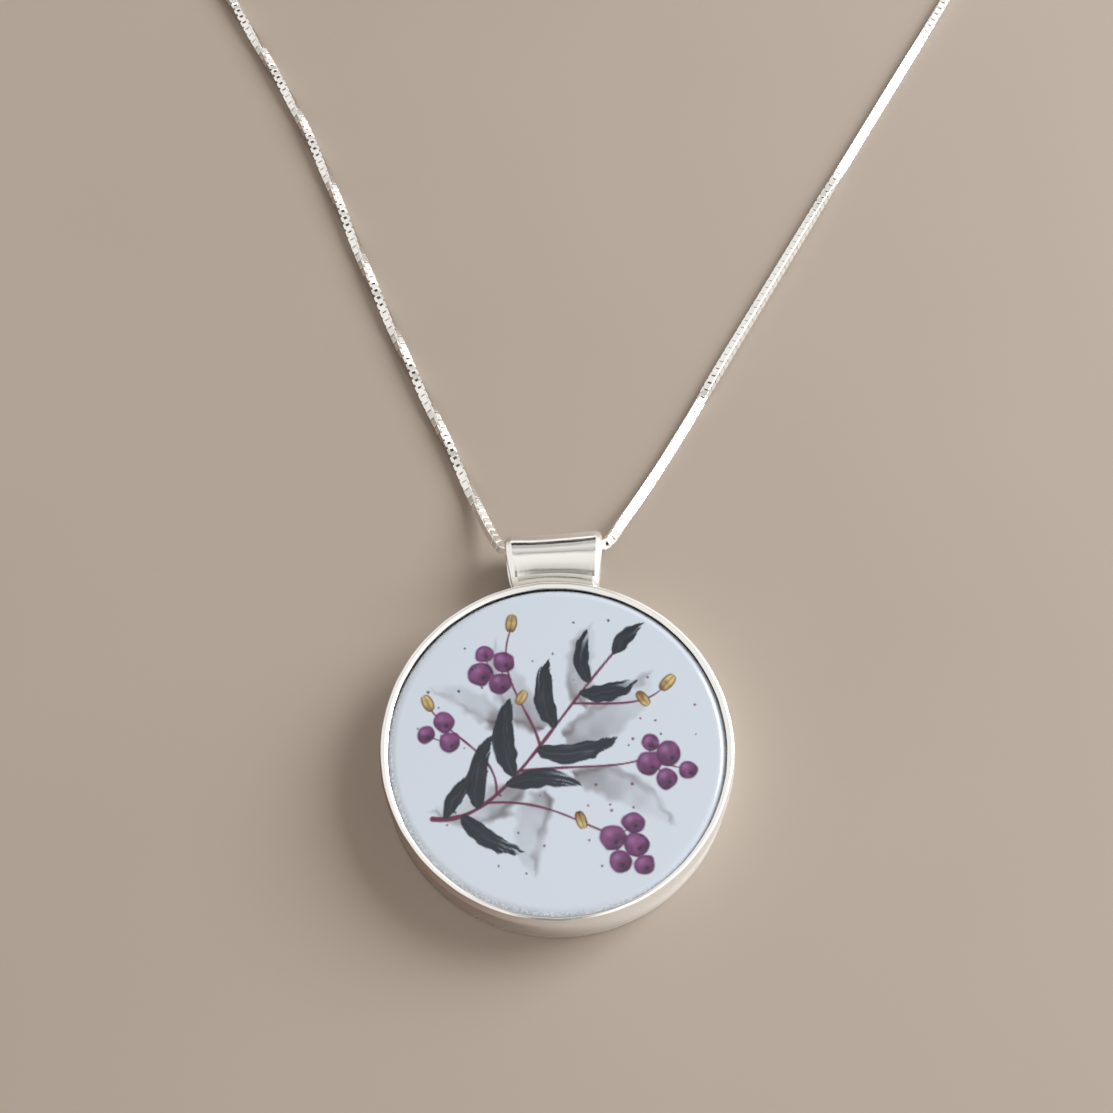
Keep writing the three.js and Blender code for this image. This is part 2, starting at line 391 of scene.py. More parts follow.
def burnished(place, polish, scratch, unevenness):
    """Silver with scratches in two directions, dulled patches, and tarnish left in its creases."""
    relief = attribute(place, "relief")
    crease, worn = spread(relief, -0.08, -0.6), spread(relief, 0.25, 0.8)
    dulled = spread(grain(place, 420.0, 4.0), 0.45, 0.75)
    scratches = calc("MAXIMUM", *(
        spread(grain(stretched(place, turn, scale), 1.0, 2.0), 0.62, 0.70) for turn, scale in SCRATCHES
    ))
    return {
        "Roughness": polish + dulled * 0.09 + scratches * (scratch * 0.35) + crease * 0.3 - worn * 0.03,
        "Base Color": tarnished(calc("ADD", crease * 0.75, dulled * 0.05, clamp=True)),
        "Metallic": 1.0,
        "Normal": bumped(grain(place, 700.0, 2.0) * unevenness + scratches * -scratch, 1.0, FINE_RELIEF),
    }


def linked(place):
    """Bright strip with darkened insides to the links, partly tarnish and partly painted shade in their
    holes.
    """
    inside = attribute(place, "inside")
    specks = grain(place, 5200.0)
    dulled = spread(grain(place, 240.0), 0.5, 0.8)
    return {
        "Roughness": 0.12 + spread(specks, 0.4, 0.75) * 0.12 + inside * 0.15,
        # The insides are darkened as tarnish and as painted shade, where the links' holes fall dark
        "Base Color": tarnished(calc("ADD", inside * 0.35, dulled * 0.12, clamp=True)),
        "Metallic": 1.0,
        "Normal": bumped(specks, 0.5, LINK_RELIEF),
    }


def glazed(place):
    """Glossy glaze over painted enamel, ground matt and grainy at its edge."""
    cloud = grain(place, 330.0)
    ground = attribute(place, "rim") * spread(grain(place, 6500.0, 4.0, 0.7), 0.40, 0.62)
    clay = mixed(spread(grain(place, 4100.0, 2.0), 0.42, 0.58), CLAY_DARK, CLAY_PALE)
    polish = 0.06 + spread(cloud, 0.4, 0.8) * 0.05
    return {
        "Base Color": mixed(ground, attribute(place, "enamel", "Color"), clay),
        "Roughness": polish + attribute(place, "raised") * 0.06 + ground * 0.3,
        "IOR": GLAZE_IOR,
        "Normal": bumped(cloud * 0.8 + ground * 0.5, 0.6, FINE_RELIEF),
    }


# Each finish: its material's name, its slot, and what makes its look, with settings
FINISHES = {
    "polished": ("Polished silver", "polished_silver", burnished, 0.07, 0.12, 1.2),
    "satin": ("Satin silver", "brushed_silver", burnished, 0.24, 0.45, 1.0),
    "chain": ("Chain silver", "polished_silver", linked),
    "glaze": ("Painted glaze", "glaze", glazed),
}


def material_of(name, look, *settings):
    """The material of that name, made at its first use. A look turns the place on a piece into inputs."""
    if name not in bpy.data.materials:
        material = bpy.data.materials.new(name)
        material.use_nodes = True
        tree = material.node_tree
        feed(tree.nodes["Principled BSDF"], look(add(tree, "ShaderNodeTexCoord", output="Object"), *settings))
    return bpy.data.materials[name]


def finished(kind):
    name, _, look, *settings = FINISHES[kind]
    return material_of(name, look, *settings)


def settle(name, mesh, kind, *nodes, body=BODY):
    """Put a finished piece in the scene, on its body, in place of the solids that it stands for."""
    mesh.name = name
    mesh.materials.clear()
    mesh.materials.append(finished(kind))
    piece = new_object(name, mesh)
    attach(piece, body)
    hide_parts(*nodes)


# Chain

def chain_line():
    """The chain's middle line in millimetres, from the clasp's cap to the end ring's cap."""
    coil = []
    turns = 2 * COIL_TURNS + COIL_CLIMB
    count = round(turns * TURN_POINTS)
    for i in range(1, count):
        turn = turns * i / count
        outward = max(0.0, turn - COIL_TURNS - COIL_CLIMB)
        inward = min(turn, COIL_TURNS)
        radius = COIL_OUTER + (COIL_INNER - COIL_OUTER) * (inward - outward) / COIL_TURNS
        climb = float(soft_step(0, COIL_CLIMB, turn - COIL_TURNS))
        x, y = COIL_CENTRE + polar(radius, 2 * math.pi * (turn + COIL_START))
        coil.append((x, y, LYING_HEIGHT + COIL_LAYER * climb))
    strand, tail = (
        [place if len(place) == 3 else (*place, LYING_HEIGHT) for place in route]
        for route in (STRAND_ROUTE, TAIL_ROUTE)
    )
    return smooth_route(strand[::-1] + coil + tail, LINE_STEP)


def input_name(size_name):
    return size_name.replace("_", " ").title()


def link_tree():
    """Node tree that strings folded links on a line, each turned a quarter from the last."""
    tree = bpy.data.node_groups.new("Box chain", "GeometryNodeTree")
    for label in ("Line", *map(input_name, ChainSizes.__annotations__), "Material"):
        kind = {"Line": "Geometry", "Material": "Material"}.get(label, "Float")
        tree.interface.new_socket(label, in_out="INPUT", socket_type="NodeSocket" + kind)
    tree.interface.new_socket("Chain", in_out="OUTPUT", socket_type="NodeSocketGeometry")
    given = {socket.name: Wire(socket) for socket in tree.nodes.new("NodeGroupInput").outputs}

    def geo(kind, inputs=(), **settings):
        return add(tree, "GeometryNode" + kind, inputs, **settings)

    def joined(first, second):
        both = node(tree, "GeometryNodeJoinGeometry", {"Geometry": first})
        return Wire(feed(both, {"Geometry": second}).outputs[0])

    def lifted(shape, height):
        offset = add(tree, "ShaderNodeCombineXYZ", {"Z": height})
        return geo("SetPosition", {"Geometry": shape, "Offset": offset})

    # One link: a flat frame with rounded outside corners, as thick as the strip is wide
    length, height, strip = given["Link Length"], given["Link Height"], given["Strip Width"]
    sides, ends = given["Side Thickness"] * 2.0, given["End Thickness"] * 2.0
    outside = geo("FilletCurve", {
        "Curve": geo("CurvePrimitiveQuadrilateral", {"Width": length, "Height": height}),
        "Radius": given["Corner"],
        "Limit Radius": True,
        "Count": 2,
    }, mode="POLY")
    hole = geo("CurvePrimitiveQuadrilateral", {"Width": length - ends, "Height": height - sides})
    sheet = geo("FillCurve", {"Curve": joined(hole, outside)}, mode="TRIANGLES")
    lower = lifted(sheet, strip * -0.5)
    raised = geo("ExtrudeMesh", {"Mesh": lower, "Offset Scale": strip, "Individual": False}, mode="FACES")
    under = geo("FlipFaces", {"Mesh": lower})
    whole = geo("MergeByDistance", {"Geometry": joined(raised, under), "Distance": 0.000001})

    # Its outer edges slope down, and its inner faces are marked
    place = geo("InputPosition")
    x, y, z = parts(place)
    outer = calc("MAXIMUM", *(
        calc("GREATER_THAN", calc("ABSOLUTE", off), reach * 0.5 - thickness * 0.25)
        for off, reach, thickness in ((x, length, ends), (y, height, sides))
    ))
    link = lifted(whole, calc("SIGN", z) * given["Edge Drop"] * outer * -1.0)
    faces = {0: place, 1: geo("InputNormal")}
    facing = add(tree, "ShaderNodeVectorMath", faces, output="Value", operation="DOT_PRODUCT")
    marked = geo("StoreNamedAttribute", {
        "Geometry": link, "Name": "inside", "Value": calc("LESS_THAN", facing, 0.0),
    }, data_type="FLOAT", domain="FACE")

    # The line: evenly spaced places, with each link along it and turned a quarter from the last
    spaced = geo("ResampleCurve", {
        "Curve": geo("MeshToCurve", {"Mesh": given["Line"]}), "Length": given["Pitch"],
    }, mode="LENGTH")
    index = geo("InputIndex")
    along = add(tree, "FunctionNodeAlignRotationToVector", {"Vector": geo("InputTangent")}, axis="X")
    level = add(tree, "FunctionNodeAlignRotationToVector", {
        "Rotation": along, "Vector": (0, 0, 1),
    }, axis="Z", pivot_axis="X")
    quarter = calc("MODULO", index, 2.0) * (math.pi / 2)
    turned, drawn = (
        geo("InputNamedAttribute", {"Name": label}, data_type="FLOAT") for label in ("turned", "drawn")
    )
    shaken = add(tree, "FunctionNodeRandomValue", {
        2: given["Jitter"] * -1.0, 3: given["Jitter"], "ID": index,
    }, output=1, data_type="FLOAT")
    roll = {"Axis": (1, 0, 0), "Angle": quarter + turned + shaken}
    rolled = add(tree, "FunctionNodeRotateRotation", {
        "Rotation": level, "Rotate By": add(tree, "FunctionNodeAxisAngleToRotation", roll),
    }, rotation_space="LOCAL")
    strung = geo("InstanceOnPoints", {
        "Points": spaced, "Instance": marked, "Rotation": rolled,
        "Scale": add(tree, "ShaderNodeCombineXYZ", {"X": drawn, "Y": 1.0, "Z": 1.0}),
    })
    real = geo("RealizeInstances", {"Geometry": strung})
    dressed = geo("SetMaterial", {"Geometry": real, "Material": given["Material"]})
    feed(tree.nodes.new("NodeGroupOutput"), {0: dressed})
    return tree


def grown(mesh, tree, values):
    """The plain mesh that a node tree makes of a mesh, with its named inputs set."""
    base = new_object("chain_base", mesh)
    modifier = base.modifiers.new("Links", "NODES")
    modifier.node_group = tree
    for item in tree.interface.items_tree:
        if item.in_out == "INPUT" and item.name in values:
            modifier[item.identifier] = values[item.name]
    shown = base.evaluated_get(bpy.context.evaluated_depsgraph_get())
    result = bpy.data.meshes.new_from_object(shown)
    base.modifiers.remove(modifier)
    bpy.data.objects.remove(base)
    return result


class NECKLACE_OT_chain(bpy.types.Operator):
    """String the box chain's links along its route, coil and all"""

    bl_idname = "necklace.chain"
    bl_label = "Box Chain"

    def execute(self, context):
        sizes = context.scene.necklace_chain
        line = chain_line()
        mesh = bpy.data.meshes.new("chain_line")
        mesh.from_pydata((line * MM).tolist(), [(i, i + 1) for i in range(len(line) - 1)], [])
        run = np.concatenate([[0], np.cumsum(np.linalg.norm(np.diff(line, axis=0), axis=1))])
        run -= run[np.argmin(np.hypot(line[:, 0], line[:, 1] - UNDER_BAIL))]
        turned = np.interp(run, *np.array(LINK_TURNS).T)
        askew = np.abs((turned + 45) % 90 - 45)
        drawn = 1 + TURNED_STRETCH * soft_step(*STRETCH_DEGREES, askew)
        mark(mesh, "turned", np.radians(turned))
        mark(mesh, "drawn", np.maximum(drawn, np.interp(run, *np.array(RIGHT_STRETCH).T)))
        values = {input_name(name): getattr(sizes, name) for name in ChainSizes.__annotations__}
        links = grown(mesh, link_tree(), {**values, "Material": finished("chain")})
        settle("box_chain", links, "chain", "chain_strand", "chain_tail", "chain_coil")
        return {"FINISHED"}


# Bezel

SIDES = 288
FOOT_GAP = 0.005
FOOT_ROUNDING = 0.025
# Corners of the lip, outside and inside: how far in, how far down from its top, and how rounded
LIP_OUTSIDE = ((0.0, 0.8, 0.5), (0.1, 0.13, 0.12), (0.3, 0.0, 0.3))
LIP_INSIDE = ((0.27, 0.1, 0.06), (0.24, 0.35, 0.05), (0.0, 0.9, 0.3))
# The heights and radii over which the burnishing and the press at the front grow
BURNISHED_HEIGHTS = (3.9, 4.9)
PRESSED_HEIGHTS = (4.0, 4.95)
PRESSED_RADII = (12.85, 13.3)
PRESSED_FADE = 0.9


def lip_wobble(amount, pressed):
    """Burnishing marks that grow from the shoulder up, and a shoulder pressed further in at the front."""
    def shift(angle, r, z):
        high = soft_step(*BURNISHED_HEIGHTS, z)
        slow = 0.5 * np.sin(3 * angle + 1.1) + 0.3 * np.sin(7 * angle + 2.3)
        flats = 0.22 * np.sin(23 * angle + 0.7 * np.sin(5 * angle)) + 0.15 * np.sin(41 * angle + 2.0)
        front = np.maximum(0, -np.sin(angle)) ** PRESSED_FADE
        inward = pressed * front * soft_step(*PRESSED_HEIGHTS, z) * soft_step(*PRESSED_RADII, r)
        return amount * (slow + flats) * high - inward, 0.5 * amount * flats * high
    return shift


class NECKLACE_OT_bezel(bpy.types.Operator):
    """Make the back plate and the bezel's wall with its burnished lip"""

    bl_idname = "necklace.bezel"
    bl_label = "Bezel"

    def execute(self, context):
        sizes = context.scene.necklace_bezel
        radius, back, height = sizes.radius / MM, sizes.back / MM, sizes.height / MM
        inner, foot = radius - sizes.wall / MM, back + FOOT_GAP
        outline = rounded((
            (radius, foot, FOOT_ROUNDING),
            *((radius - inwards, height - down, fillet) for inwards, down, fillet in LIP_OUTSIDE),
            *((inner - inwards, height - down, fillet) for inwards, down, fillet in LIP_INSIDE),
            (inner, foot, 0.0),
        ))
        rings = revolved(outline, SIDES, lip_wobble(sizes.wobble / MM, sizes.pressed / MM))
        settle("bezel_band", closed_mesh(rings, True), "polished", "bezel_wall")
        edge = rounded((
            (1.0, 0.0, 0.0), (radius, 0.0, 0.12), (radius, back, FOOT_ROUNDING), (1.0, back, 0.0),
        ))[1:-1]
        rings = np.swapaxes(revolved(edge, SIDES), 0, 1)
        settle("bezel_back", closed_mesh(rings, False), "satin", "back_plate")
        return {"FINISHED"}


# Disc

GLAZE_PALETTE = {
    "leaf": (0.075, 0.105, 0.145),
    "leaf light": (0.33, 0.385, 0.45),
    "plum": (0.47, 0.25, 0.46),
    "plum dark": (0.24, 0.10, 0.25),
    "plum light": (0.70, 0.55, 0.72),
    "ochre": (0.80, 0.75, 0.50),
    "brown": (0.38, 0.23, 0.15),
    "maroon": (0.36, 0.13, 0.24),
    "shade": (0.25, 0.22, 0.24),
}
BRUSH_EDGE = 0.05
STROKE_COVER = 0.95


def to_linear(values):
    values = np.asarray(values, float)
    return np.where(values <= 0.04045, values / 12.92, ((values + 0.055) / 1.055) ** 2.4)


def from_linear(values):
    values = np.asarray(values, float)
    return np.where(values <= 0.0031308, values * 12.92, 1.055 * values ** (1 / 2.4) - 0.055)


def mottle(x, y, patch, seed):
    """Smooth noise from 0 to 1, in patches of that size."""
    lattice = np.random.default_rng(seed).random((97, 97))
    u, v = x / patch + 41.3, y / patch + 37.9
    i, j = np.floor(u).astype(int), np.floor(v).astype(int)
    s, t = soft_step(0, 1, u - i), soft_step(0, 1, v - j)
    i, j = i % 96, j % 96
    low = lattice[i, j] * (1 - s) + lattice[i + 1, j] * s
    high = lattice[i, j + 1] * (1 - s) + lattice[i + 1, j + 1] * s
    return low * (1 - t) + high * t


def bezier(points, count=28):
    t = np.linspace(0, 1, count)[:, None]
    level = [np.array(point, float)[None, :] for point in points]
    while len(level) > 1:
        level = [a * (1 - t) + b * t for a, b in zip(level, level[1:])]
    return level[0]


def beside(x, y, line):
    """Each place's share along the line, its signed distance off it, and the line's length."""
    best = np.full(x.shape, 1e9)
    share, off = np.zeros(x.shape), np.zeros(x.shape)
    steps = np.diff(line, axis=0)
    lengths = np.hypot(steps[:, 0], steps[:, 1])
    run = np.concatenate([[0], np.cumsum(lengths)])
    for start, step, length, before in zip(line, steps, lengths, run):
        dx, dy = x - start[0], y - start[1]
        at = np.clip((dx * step[0] + dy * step[1]) / length ** 2, 0, 1)
        away = np.hypot(dx - at * step[0], dy - at * step[1])
        nearer = away < best
        best[nearer] = away[nearer]
        share[nearer] = ((before + at * length) / run[-1])[nearer]
        off[nearer] = (away * np.sign(step[0] * dy - step[1] * dx))[nearer]
    return share, off, run[-1]


def ramp(first, second, share):
    first, second = np.array(GLAZE_PALETTE[first]), np.array(GLAZE_PALETTE[second])
    return first + (second - first) * np.clip(share, 0, 1)[:, None]


def within(distance, soft=BRUSH_EDGE):
    """1 where a signed distance is inside a shape, 0 outside, with a soft edge."""
    return 1 - soft_step(-soft, soft, distance)


def glow(distance, width):
    """1 on a line or a point, fading away from it."""
    return np.exp(-(distance / width) ** 2)


class Enamel:
    """The disc's painted face: a colour and a thickness at each of its points, in millimetres."""

    def __init__(self, x, y, glaze):
        self.x, self.y = x, y
        self.colour = np.tile(np.array(glaze, float), (x.size, 1))
        self.raised = np.zeros(x.size)

    def near(self, centre, reach):
        """Which points lie near a centre, and where they are."""
        where = np.nonzero(np.hypot(self.x - centre[0], self.y - centre[1]) < reach)[0]
        return where, self.x[where], self.y[where]

    def lay(self, where, cover, tint, thick=1.0):
        """Lay a tint over those points, by its name or as a colour for each."""
        cover = np.clip(cover, 0, 1)
        tint = np.array(GLAZE_PALETTE[tint]) if isinstance(tint, str) else tint
        self.colour[where] += (tint - self.colour[where]) * cover[:, None]
        self.raised[where] = np.maximum(self.raised[where], cover * thick)

    def bladed(self, base, heading, length, width, bend, seed, wander):
        """Points on a leaf-shaped patch: which, where, along and off its rib, its run and its half width."""
        way = polar(1, math.radians(heading))
        across = np.array([-way[1], way[0]])
        base = np.array(base, float)
        middle = base + way * length * 0.5 + across * bend * length * 2
        line = bezier([base, middle, base + way * length])
        where, x, y = self.near(line[len(line) // 2], length * 0.75 + width)
        x = x + wander * (2 * mottle(x, y, 0.6, seed) - 1)
        y = y + wander * (2 * mottle(x, y, 0.6, seed + 50) - 1)
        along, off, run = beside(x, y, line)
        half = width * 0.975 * along ** 0.55 * (1 - along) ** 0.8
        return where, x, y, along, off, run, half

    def shadow_leaf(self, *shape, seed):
        """A soft grey leaf, darker at its base and beside its rib."""
        where, x, y, along, off, _, half = self.bladed(*shape, seed, 0.25)
        tone = 0.35 + 0.65 * mottle(x, y, 1.1, seed + 3)
        deep = 0.10 + 0.62 * (1 - along) ** 2.2 + 0.28 * soft_step(0.75, 0.2, half - np.abs(off)) * (off > 0)
        self.lay(where, within(np.abs(off) - half, 0.3) * tone * deep, "shade", 0)

    def leaf(self, *shape, seed):
        """A leaf in long brush streaks, that runs ragged and dry towards its tip."""
        where, x, y, along, off, run, half = self.bladed(*shape, seed, 0.12)
        ragged = 0.10 * (mottle(along * run * 0.8, off * 9, 0.35, seed + 4) - 0.5)
        inside = within(np.abs(off) - half + ragged * soft_step(0.25, 0.9, along))
        streak = mottle(along * run * 0.7, off * 8.5 + along * 2, 1.0, seed + 1)
        broad = mottle(x, y, 1.1, seed + 2)
        light = 0.9 * (streak - 0.52) + 0.55 * (broad - 0.5) + 0.12 * (off > 0)
        light = np.clip(light, 0, 1) * (0.25 + 0.75 * along)
        bare = soft_step(0.70, 0.86, streak) * soft_step(0.45, 0.95, along)
        self.lay(where, inside * (0.97 - 0.8 * bare), ramp("leaf", "leaf light", light))
        self.lay(where, glow(off, 0.05) * inside * soft_step(0.9, 0.5, along) * 0.35, "leaf light")

    def stroke(self, points, width, tint, seed, taper=0.5):
        """One brush stroke that tapers and wavers in width."""
        line = bezier(points)
        middle = line.mean(axis=0)
        where, x, y = self.near(middle, np.hypot(*(line - middle).T).max() + width * 2)
        along, off, run = beside(x, y, line)
        half = width / 2 * (1 - taper * along) * (0.75 + 0.5 * mottle(along * run, off * 0, 0.9, seed))
        self.lay(where, within(np.abs(off) - half) * STROKE_COVER, tint)

    def berry(self, centre, radius, seed):
        """A round berry in a wet wash: pale at the upper left, dark at its rim and at its crown."""
        where, x, y = self.near(centre, radius * 1.7)
        x, y = x - centre[0], y - centre[1]
        away = np.hypot(x, y) * (1 + 0.22 * (mottle(x + seed, y, 0.6, seed) - 0.5))
        inside = within(away - radius, 0.07)
        wash = mottle(x + 3, y + seed, 0.45, seed + 1)
        tone = 0.25 + 0.45 * (x * 0.5 - y * 0.8) / radius + 0.9 * (wash - 0.5)
        self.lay(where, inside * 0.96, ramp("plum", "plum dark", tone))
        pale = glow(np.hypot(x + radius * 0.3, y - radius * 0.35), radius * 0.34)
        self.lay(where, pale * 0.6 * inside * (0.4 + 0.6 * wash), "plum light")
        self.lay(where, glow(away - radius + 0.08, 0.09) * (0.25 + 0.75 * wash) * 0.6, "plum dark")
        crown = glow(np.hypot(x - radius * 0.25, y + radius * 0.35), 0.15)
        self.lay(where, crown * 0.8 * inside, "leaf")

    def bud(self, base, heading, length, width, seed):
        """A small ochre bud with brown at its base, its middle line and its rim."""
        line = bezier([base, base + polar(length, math.radians(heading))])
        where, x, y = self.near(line[len(line) // 2], length + width)
        along, off, _ = beside(x, y, line)
        half = width / 2 * np.clip(1 - (2 * along - 1) ** 2, 0, 1) ** 0.4
        inside = within(np.abs(off) - half)
        tone = 0.8 * (1 - along) ** 2.2 + 0.6 * (mottle(x, y, 0.3, seed) - 0.4)
        self.lay(where, inside, ramp("ochre", "brown", tone))
        self.lay(where, glow(off, 0.05) * inside * 0.5, "brown")
        rim = glow(np.abs(off) - half + 0.02, 0.06) * (np.abs(along - 0.5) < 0.49)
        self.lay(where, rim * 0.8, "brown")

    def fleck(self, centre, radius, tint):
        where, x, y = self.near(centre, 0.5)
        away = np.hypot(x - centre[0], y - centre[1])
        self.lay(where, (1 - soft_step(radius - 0.03, radius + 0.04, away)) * 0.7, tint)


# The sprig: places in millimetres from the disc's centre, headings in degrees
SHADOW_LEAVES = (
    (-1.0, 1.2, 118, 8.2, 3.4, 0.10), (0.4, 0.6, 38, 8.6, 3.4, -0.10),
    (-2.6, -3.0, 196, 7.2, 3.0, 0.12), (1.2, -2.2, -28, 8.4, 3.2, 0.10),
    (-0.8, -3.4, 262, 6.6, 2.8, -0.12), (2.0, 3.2, 84, 6.8, 2.6, 0.10),
    (-4.2, 1.6, 152, 6.2, 2.4, -0.08),
)
STEM = ((-9.3, -5.6), (-4.4, -6.2), (-1.6, 0.4), (4.4, 7.6))
STALKS = (
    (0.30, (0.5, -3.9), (2.6, -7.2), (5.9, -6.9)),
    (0.50, (2.4, -1.3), (5.4, -2.0), (7.6, -0.3)),
    (0.62, (-1.8, 2.6), (-5.0, 5.4), (-3.7, 9.3)),
    (0.36, (-4.4, -0.6), (-7.6, 0.2), (-9.7, 2.9)),
    (0.80, (4.6, 3.4), (6.6, 3.2), (8.0, 4.6)),
)
STEM_LEAVES = (
    (0.07, 1, 4.4, 1.5, -0.10), (0.16, -1, 5.4, 1.8, -0.10), (0.25, 1, 5.8, 1.9, -0.10),
    (0.42, -1, 5.6, 1.8, 0.09), (0.47, 1, 6.2, 2.1, -0.11), (0.60, -1, 6.2, 2.0, -0.12),
    (0.70, 1, 5.6, 1.9, -0.10), (0.84, -1, 4.6, 1.7, -0.10), (0.88, 1, 4.4, 1.5, -0.12),
)
TIP_LEAF = (48, 3.6, 1.4, 0.06)
BERRIES = (
    ((4.1, -7.0), ((0, 0, 0.95), (1.7, -0.5, 0.9), (0.5, -1.75, 0.82), (2.3, -2.0, 0.75), (1.5, 1.15, 0.8))),
    ((6.9, -1.3), ((0, 0, 0.92), (1.5, 0.75, 0.95), (1.3, -1.2, 0.82), (2.9, -0.5, 0.72), (0.1, 1.6, 0.66))),
    ((-4.4, 5.0), ((0, 0, 0.85), (-1.55, 0.75, 0.9), (0.2, 1.75, 0.86), (-1.3, 2.4, 0.7))),
    ((-8.2, 0.3), ((0, 0, 0.8), (-0.45, 1.6, 0.82), (-1.8, 0.6, 0.68))),
)
BUDS = (
    (7.9, 4.5, 48, 1.6, 0.85), (-3.7, 9.2, 84, 1.5, 0.85), (-9.6, 2.8, 118, 1.4, 0.8),
    (1.5, -5.0, -70, 1.4, 0.75), (6.1, 4.35, -52, 1.4, 0.75), (-3.1, 3.3, 60, 1.3, 0.7),
)
STEM_STEPS = 100
# Flecks: how many, then their distance from the centre and their radius, each as the least and the range
FLECKS = 46
FLECK_AWAY = (4, 7)
FLECK_RADIUS = (0.05, 0.07)


def paint_sprig(enamel):
    """A curved sprig of pointed leaves, round berries and small buds, with soft grey leaves behind."""
    for k, (x, y, *shape) in enumerate(SHADOW_LEAVES):
        enamel.shadow_leaf((x, y), *shape, seed=100 + 7 * k)
    path = bezier(STEM, STEM_STEPS + 1)
    for k, (share, *rest) in enumerate(STALKS):
        enamel.stroke([path[int(share * STEM_STEPS)], *rest], 0.2, "maroon", 200 + k)
    enamel.stroke(STEM, 0.34, "maroon", 210, taper=0.55)
    for k, (share, side, length, width, bend) in enumerate(STEM_LEAVES):
        i = int(share * STEM_STEPS)
        step = path[min(i + 1, STEM_STEPS)] - path[max(i - 1, 0)]
        heading = math.degrees(math.atan2(step[1], step[0])) + side * (52 - 16 * share)
        enamel.leaf(path[i], heading, length, width, bend * -side, seed=300 + 11 * k)
    enamel.leaf(path[-1] - np.array([0.1, 0.2]), *TIP_LEAF, seed=500)
    for k, (at, berries) in enumerate(BERRIES):
        for j, (dx, dy, _) in enumerate(berries[1:], 1):
            bow = (at[0] + dx * 0.6, at[1] + dy * 0.3)
            enamel.stroke([at, bow, (at[0] + dx, at[1] + dy)], 0.13, "maroon", 600 + 9 * k + j)
    for k, (at, berries) in enumerate(BERRIES):
        for j, (dx, dy, radius) in enumerate(berries):
            enamel.berry((at[0] + dx, at[1] + dy), radius, 640 + 9 * k + j)
    for k, (x, y, *shape) in enumerate(BUDS):
        enamel.bud((x, y), *shape, 700 + k)
    draw = np.random.default_rng(5)
    for _ in range(FLECKS):
        angle, away, radius, pick = draw.random(4)
        centre = polar(FLECK_AWAY[0] + FLECK_AWAY[1] * away, 2 * math.pi * angle)
        tint = "maroon" if pick < 0.5 else "leaf"
        enamel.fleck(centre, FLECK_RADIUS[0] + FLECK_RADIUS[1] * radius, tint)


def even_disc(radius, rings):
    """Points and triangles of a flat disc: rings of 6, 12, 18 ... points, so that all are alike in size."""
    points, faces, first = [np.zeros((1, 2))], [], [0]
    for k in range(1, rings + 1):
        angles = around(6 * k)
        first.append(first[-1] + max(1, 6 * (k - 1)))
        points.append(radius * k / rings * np.stack([np.cos(angles), np.sin(angles)], axis=-1))
        sector, j = np.divmod(np.arange(6 * k), k)
        inner = (sector * (k - 1) + j) % max(1, 6 * (k - 1)) + first[k - 1]
        outer = np.arange(6 * k) + first[k]
        ahead = np.roll(outer, -1)
        faces.append(np.stack([inner, outer, ahead], axis=-1))
        if k > 1:
            beyond = (sector * (k - 1) + j + 1) % (6 * (k - 1)) + first[k - 1]
            faces.append(np.stack([inner, ahead, beyond], axis=-1)[j < k - 1])
    return np.vstack(points), np.vstack(faces)


# The face falls slightly outwards, then rounds off from its start angle down to the edge's foot
DISC_RINGS = 150
FACE_FALL = 0.03
EDGE_FOOT = 4.2
EDGE_START = 0.13
EDGE_STEPS = 12
# Below that: how far in, and how high
DISC_FOOT = ((0.0, 0.8), (0.1, 0.71))
# The ground rim, in shares of the edge, reaches further in on the side that is more worn
GROUND_RIM = (0.45, 0.85)
WORN_REACH = 0.3
WORN_SIDE = math.radians(228)


